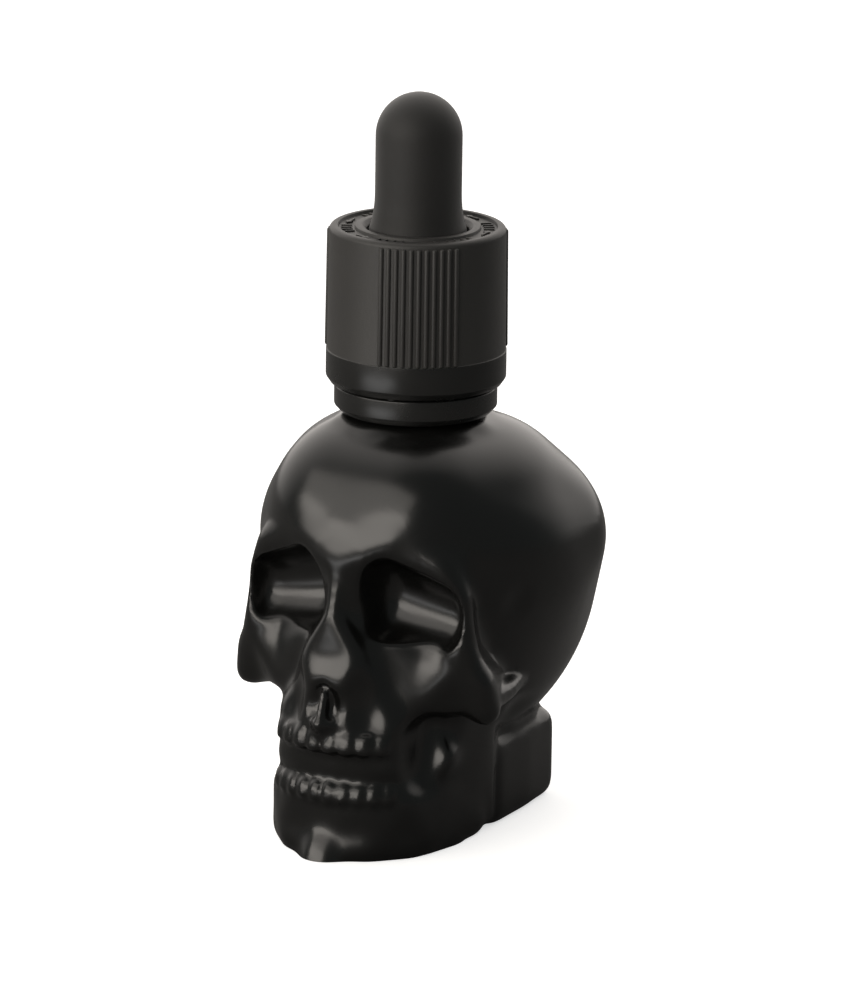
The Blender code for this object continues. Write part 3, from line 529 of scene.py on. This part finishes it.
# The moulded signs in the track: six turn arrows, each a short bar with a triangular head, and ticks between.
SIGNS, SIGN_HEIGHT, SIGN_BEVEL, ARROW_CIRCLE, TICK_CIRCLE = 6, 0.5, 0.06, 9.95, 9.9
FIRST_ARROW_DEG, FIRST_TICK_DEG, TICK_STEP_DEG, TICKS_PER_GROUP = 8.0, 26.0, 7.0, 4
bpy.ops.object.select_all(action="DESELECT")
bpy.ops.mesh.primitive_cylinder_add(
    vertices=3, radius=0.62 * MM, depth=SIGN_HEIGHT * MM, location=(0, 1.15 * MM, 0))
head = bpy.context.object
arrow = bar((0.34, 1.9, SIGN_HEIGHT), SIGN_BEVEL)
cut(arrow, head, "UNION")
cut(shell, stood_round("arrows", arrow, evenly(SIGNS, first=FIRST_ARROW_DEG), ARROW_CIRCLE, TRACK_Z), "UNION")
cut(shell, joined([
    stood_round("ticks_%d" % k, bar((1.5, 0.28, 0.44), SIGN_BEVEL),
                evenly(SIGNS, first=FIRST_TICK_DEG + TICK_STEP_DEG * k), TICK_CIRCLE, TRACK_Z)
    for k in range(TICKS_PER_GROUP)]), "UNION")

# Lugs under the ceiling, which drop between those of the inner cap when the shell is pressed.
lugs = stood_round("shell_lugs", bar(LUG_SIZE, LUG_BEVEL), evenly(LUGS, first=180.0 / LUGS), LUG_CIRCLE,
                   CEILING_Z - 0.35)
cut(shell, lugs, "UNION")
only(shell)
bpy.ops.object.shade_smooth_by_angle(angle=math.radians(35))

# Polypropylene from a spark-eroded mould: the same black, but with a fine even grain that spreads the light
# into a soft grey. The grain of the real one is about 0.1 mm, drawn here at 0.22 mm so that it shows.
eroded, tree, shader = new_finish("spark_eroded_polypropylene", "#31302f", 0.5, Specular_IOR_Level=0.5)
add_grain(tree, shader, size_mm=0.22, depth_mm=0.012, detail=1.0)
add_drift(tree, shader, "Base Color", "#302f2e", "#353432", size_mm=6.0)
dress(shell, eroded, "shell", "outer_shell")

# The band at its foot comes from a polished part of the mould, as the ring does.
BAND_DEPTH = 0.9
shell.data.materials.append(polished)
for face in shell.data.polygons:
    low = face.center.z < (BAND_TOP_Z + 0.03) * MM
    if low and math.hypot(face.center.x, face.center.y) > (FOOT_RADIUS - BAND_DEPTH) * MM:
        face.material_index = 1

# Rubber bulb: one moulded squeeze bulb. Its flange lies on the mouth of the neck as the seal, its foot
# flares to fill the hole in the cap, and the thick wall narrows inside to grip the pipette.
BULB_RADIUS, BULB_TOP_Z, CHAMBER_RADIUS, BULB_WALL = 6.03, 104.05, 4.45, 1.5
FLANGE_RADIUS, FLANGE_FOOT_Z, FLANGE_TOP_Z, FOOT_STEM_RADIUS = 8.75, 77.2, 79.2, 6.75
FLARE_RADIUS, FLARE_Z, FLARE_HEIGHT, FLARE_STEPS, FLARE_CURVE = 6.8, 84.7, 5.4, 12, 2.2
PIPETTE_TOP_Z, GRIP_RADIUS = 87.2, 3.8
dome_z = BULB_TOP_Z - BULB_RADIUS
flare = [(BULB_RADIUS + (FLARE_RADIUS - BULB_RADIUS) * (1 - k / FLARE_STEPS) ** FLARE_CURVE,
          FLARE_Z + FLARE_HEIGHT * k / FLARE_STEPS) for k in range(FLARE_STEPS + 1)]
dome = [(BULB_RADIUS * math.cos(t), dome_z + BULB_RADIUS * math.sin(t))
        for t in [math.radians(6 * k) for k in range(15)]]
chamber = [(CHAMBER_RADIUS * math.cos(t), dome_z + CHAMBER_RADIUS * math.sin(t))
           for t in [math.radians(84 - 12 * k) for k in range(8)]]
flange = rounded(
    (GRIP_RADIUS, FLANGE_FOOT_Z, 0.2), (FLANGE_RADIUS, FLANGE_FOOT_Z, 0.3),
    (FLANGE_RADIUS, FLANGE_TOP_Z, 0.3), (FOOT_STEM_RADIUS, FLANGE_TOP_Z, 0.2), (FOOT_STEM_RADIUS, 84.2, 0.2))
top = [(0, BULB_TOP_Z), (0, BULB_TOP_Z - BULB_WALL)]
grip = [(CHAMBER_RADIUS, PIPETTE_TOP_Z + 1.2), (GRIP_RADIUS, PIPETTE_TOP_Z + 0.6)]
bulb = lathed("squeeze_bulb", flange + flare + dome + top + chamber + grip, steps=96)
only(bulb)
bpy.ops.object.shade_smooth_by_angle(angle=math.radians(35))

# Moulded natural rubber: dull black with a dry bloom that greys it where it is seen edge on.
rubber, tree, shader = new_finish("moulded_black_rubber", "#1b1a19", 0.62, Specular_IOR_Level=0.45)
shader.inputs["Sheen Weight"].default_value = 0.25
shader.inputs["Sheen Roughness"].default_value = 0.5
add_grain(tree, shader, size_mm=0.6, depth_mm=0.01, detail=3.0)
add_drift(tree, shader, "Base Color", "#1a1918", "#1f1e1d", size_mm=7.0)
dress(bulb, rubber, "dropper", "rubber_bulb")

# Pipette: a length of drawn glass tube, fire-polished at the top and pulled down to a fine tip. It is pushed
# into the bulb and hangs down the neck to just above the floor of the bottle.
TIP_Z, TUBE_RADIUS, TUBE_WALL, TIP_BORE = 12.6, 3.5, 0.9, 0.9
TIP_LENGTH, TAPER_LENGTH = 3.0, 14.0
pipette = lathed("drawn_glass_pipette", rounded(
    (TIP_BORE, TIP_Z, 0.25), (1.5, TIP_Z, 0.3), (1.6, TIP_Z + TIP_LENGTH, 3.0),
    (TUBE_RADIUS, TIP_Z + TAPER_LENGTH, 4.0), (TUBE_RADIUS, PIPETTE_TOP_Z, 0.4),
    (TUBE_RADIUS - TUBE_WALL, PIPETTE_TOP_Z, 0.4), (TUBE_RADIUS - TUBE_WALL, TIP_Z + TAPER_LENGTH, 4.0),
    (TIP_BORE, TIP_Z + TIP_LENGTH, 3.0), facet=0.3), steps=64)
only(pipette)
bpy.ops.object.shade_smooth_by_angle(angle=math.radians(35))

# Drawn soda-lime glass: clear, with a cool cast, and a wall that wavers a little along its length.
clear, tree, shader = new_finish("clear_drawn_glass", "#eef4f3", 0.02, IOR=1.52, Transmission_Weight=1.0)
add_grain(tree, shader, size_mm=8.0, depth_mm=0.02, detail=0.0)
dress(pipette, clear, "dropper", "glass_pipette")

# Studio: a plain white floor, a bright sweep behind and above, and one large softbox in front, to the left,
# whose lower half is the brighter. The floor looks white to the camera; the bottle sees it darker, with a
# painted pool of light in front, a glow in the floor itself, that lies in the gloss of the ring and the band.
FLOOR_TO_CAMERA, FLOOR_TO_BOTTLE, FLOOR_GLOW = "#f4f4f4", "#707070", 0.62
POOL_PLACE, POOL_INNER, POOL_OUTER, POOL_STRENGTH = (-0.083, -0.257, 0), 0.06, 0.14, 2.2
bpy.ops.object.select_all(action="DESELECT")
bpy.ops.mesh.primitive_plane_add(size=3.0)
floor = bpy.context.object
floor.name = "floor"
paper, tree, shader = new_finish("white_paper", FLOOR_TO_CAMERA, 0.9)
see = add_node(tree, "ShaderNodeLightPath")
plainly = add_node(tree, "ShaderNodeMath", {},
                   {0: see.outputs["Is Camera Ray"], 1: see.outputs["Is Transmission Ray"]},
                   operation="MAXIMUM")
tone = add_node(tree, "ShaderNodeMix", {"A": linear(FLOOR_TO_BOTTLE), "B": linear(FLOOR_TO_CAMERA)},
                {"Factor": plainly.outputs["Value"]}, data_type="RGBA")
# A painted pool of light: glow in the floor's own emission, seen only in reflections, in place of the
# softbox's light on the table.
place = add_node(tree, "ShaderNodeTexCoord")
away = add_node(tree, "ShaderNodeVectorMath", {1: POOL_PLACE}, {0: place.outputs["Object"]},
                operation="DISTANCE")
painted_pool = add_node(tree, "ShaderNodeMapRange",
                {"From Min": POOL_INNER, "From Max": POOL_OUTER, "To Min": POOL_STRENGTH, "To Max": 0.0},
                {"Value": away.outputs["Value"]}, interpolation_type="SMOOTHSTEP")
glow = add_node(tree, "ShaderNodeMix", {"B": FLOOR_GLOW},
                {"Factor": plainly.outputs["Value"], "A": painted_pool.outputs["Result"]}, data_type="FLOAT")
shader.inputs["Emission Color"].default_value = (1, 1, 1, 1)
tree.links.new(tone.outputs["Result"], shader.inputs["Base Color"])
tree.links.new(glow.outputs["Result"], shader.inputs["Emission Strength"])
floor.data.materials.append(paper)

# The room: dim in front, and bright behind and above, where the sweep curves up.
SWEEP_WAY, ROOM_LIGHT, SWEEP_LIGHT = (-0.45, 0.75, 0.49), (0.135, 0.145, 0.142, 1), (1.5, 1.42, 1.35, 1)
world = bpy.data.worlds.new("studio")
bpy.context.scene.world = world
world.use_nodes = True
tree = world.node_tree
shade = tree.nodes["Background"]
aim = add_node(tree, "ShaderNodeTexCoord")
facing = add_node(tree, "ShaderNodeVectorMath", {1: SWEEP_WAY}, {0: aim.outputs["Generated"]},
                  operation="DOT_PRODUCT")
sweep = add_node(tree, "ShaderNodeMapRange", {"From Min": 0.2, "From Max": 0.9, "To Min": 0.0, "To Max": 1.0},
                 {"Value": facing.outputs["Value"]})
room = add_node(tree, "ShaderNodeMix", {"A": ROOM_LIGHT, "B": SWEEP_LIGHT},
                {"Factor": sweep.outputs["Result"]}, data_type="RGBA", clamp_result=False)
see = add_node(tree, "ShaderNodeLightPath")
plainly = add_node(tree, "ShaderNodeMath", {},
                   {0: see.outputs["Is Camera Ray"], 1: see.outputs["Is Transmission Ray"]},
                   operation="MAXIMUM")
level = add_node(tree, "ShaderNodeMix", {"B": (1, 1, 1, 1)},
                 {"Factor": plainly.outputs["Value"], "A": room.outputs["Result"]}, data_type="RGBA")
tree.links.new(level.outputs["Result"], shade.inputs["Color"])
shade.inputs["Strength"].default_value = 1.0


def way_to(azimuth, height):
    """A direction from the bottle, by its angles in degrees round from the front and up from level."""
    a, e = math.radians(azimuth), math.radians(height)
    return Vector((math.sin(a) * math.cos(e), -math.cos(a) * math.cos(e), math.sin(e)))


def softbox(name, azimuth, height, size, power):
    """One half of the softbox, aimed at the middle of the skull."""
    way = way_to(azimuth, height)
    bpy.ops.object.light_add(type="AREA", location=SKULL_MIDDLE + way * SOFTBOX_DISTANCE)
    lamp = bpy.context.object
    lamp.name = name
    lamp.rotation_mode = "QUATERNION"
    lamp.rotation_quaternion = way.to_track_quat("Z", "Y")
    lamp.data.shape = "RECTANGLE"
    lamp.data.size, lamp.data.size_y = size
    lamp.data.energy = power
    lamp.data.color = WARM_WHITE


SKULL_MIDDLE, SOFTBOX_DISTANCE, WARM_WHITE = Vector((0, 0, 0.045)), 0.8, (1.0, 0.94, 0.87)
softbox("key_low", -19.0, 14.0, (1.0, 0.26), 3.0)
softbox("key_high", -19.0, 37.0, (1.0, 0.37), 1.75)

# Camera: a long lens about a metre away, from the side and the height of the photograph, and rolled a
# little as it is there. It looks past the bottle's middle by the pixels that the middle stands off centre.
CAMERA_AZIMUTH, CAMERA_HEIGHT, CAMERA_ROLL, CAMERA_DISTANCE = 30.0, 14.8, 0.8, 1.0
PIXELS_PER_MM, PIXELS_RIGHT, PIXELS_DOWN = 7.15, 422.3 - 415.0, 500.0 - 457.0
SENSOR_HEIGHT = 36.0
target, back = Vector((0, 0, 0.052)), way_to(CAMERA_AZIMUTH, CAMERA_HEIGHT)
right = Vector((math.cos(math.radians(CAMERA_AZIMUTH)), math.sin(math.radians(CAMERA_AZIMUTH)), 0))
up = back.cross(right)
bpy.ops.object.camera_add(location=target + back * CAMERA_DISTANCE)
camera = bpy.context.object
look = target + right * (PIXELS_RIGHT / PIXELS_PER_MM * MM) - up * (PIXELS_DOWN / PIXELS_PER_MM * MM)
camera.rotation_mode = "QUATERNION"
camera.rotation_quaternion = (look - camera.location).to_track_quat("-Z", "Y") @ Matrix.Rotation(
    math.radians(CAMERA_ROLL), 3, "Z").to_quaternion()
camera.data.sensor_fit = "VERTICAL"
camera.data.sensor_height = SENSOR_HEIGHT
camera.data.lens = PIXELS_PER_MM * CAMERA_DISTANCE * SENSOR_HEIGHT
camera.data.clip_end = 20.0
bpy.context.scene.camera = camera
bpy.context.scene.view_settings.view_transform = "Standard"
